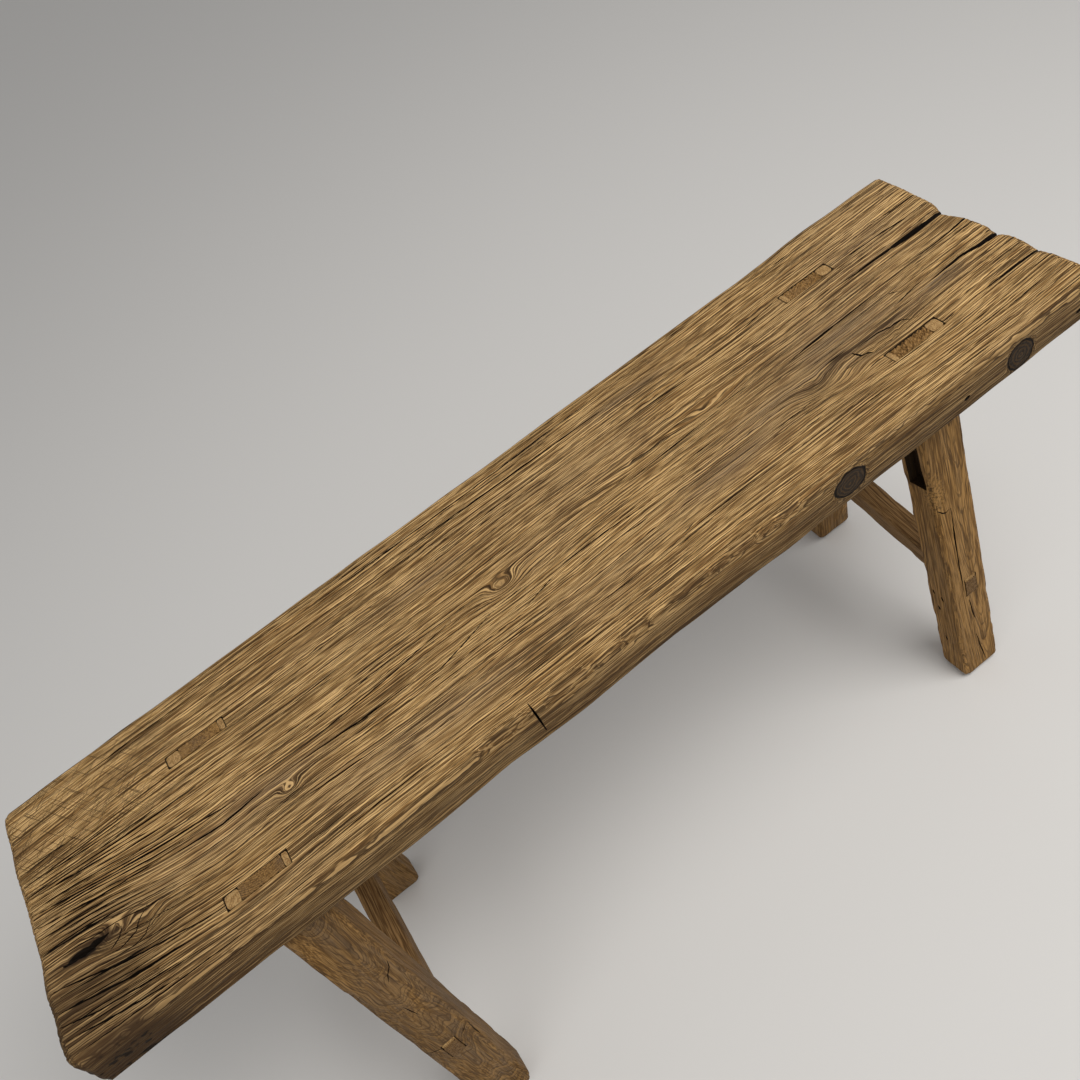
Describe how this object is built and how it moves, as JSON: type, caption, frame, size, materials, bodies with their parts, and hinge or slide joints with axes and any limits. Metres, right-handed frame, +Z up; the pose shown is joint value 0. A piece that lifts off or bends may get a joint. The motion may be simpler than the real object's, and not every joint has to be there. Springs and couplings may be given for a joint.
{
  "type": "low bench",
  "caption": "Low bench of weathered wood: a thick worn seat plank on splayed legs, with wedged through tenons and a stretcher at each end.",
  "frame": {"origin": "on the floor, at the centre of the bench's outline", "axes": "+X along the plank, to the right when facing the front; +Z up; the front faces -Y"},
  "size_m": [1.06, 0.3469, 0.488],
  "materials": {
    "seat_wood": "old golden brown wood, weathered and unfinished, with raised grain",
    "leg_wood": "old brown wood with worn arrises",
    "stretcher_wood": "darker brown wood, smoother than the seat",
    "wedge_wood": "paler wood, cut across the grain"
  },
  "bodies": {
    "root": {"seat_plank": "seat_wood", "leg_front_left": "leg_wood", "leg_front_right": "leg_wood", "leg_back_left": "leg_wood", "leg_back_right": "leg_wood", "stretcher_left": "stretcher_wood", "stretcher_right": "stretcher_wood", "seat_wedge_front_left_outer": "wedge_wood", "seat_wedge_front_left_inner": "wedge_wood", "seat_wedge_front_right_outer": "wedge_wood", "seat_wedge_front_right_inner": "wedge_wood", "seat_wedge_back_left_outer": "wedge_wood", "seat_wedge_back_left_inner": "wedge_wood", "seat_wedge_back_right_outer": "wedge_wood", "seat_wedge_back_right_inner": "wedge_wood", "stretcher_wedge_front_left": "wedge_wood", "stretcher_wedge_front_right": "wedge_wood", "stretcher_wedge_back_left": "wedge_wood", "stretcher_wedge_back_right": "wedge_wood"}
  },
  "joints": []
}
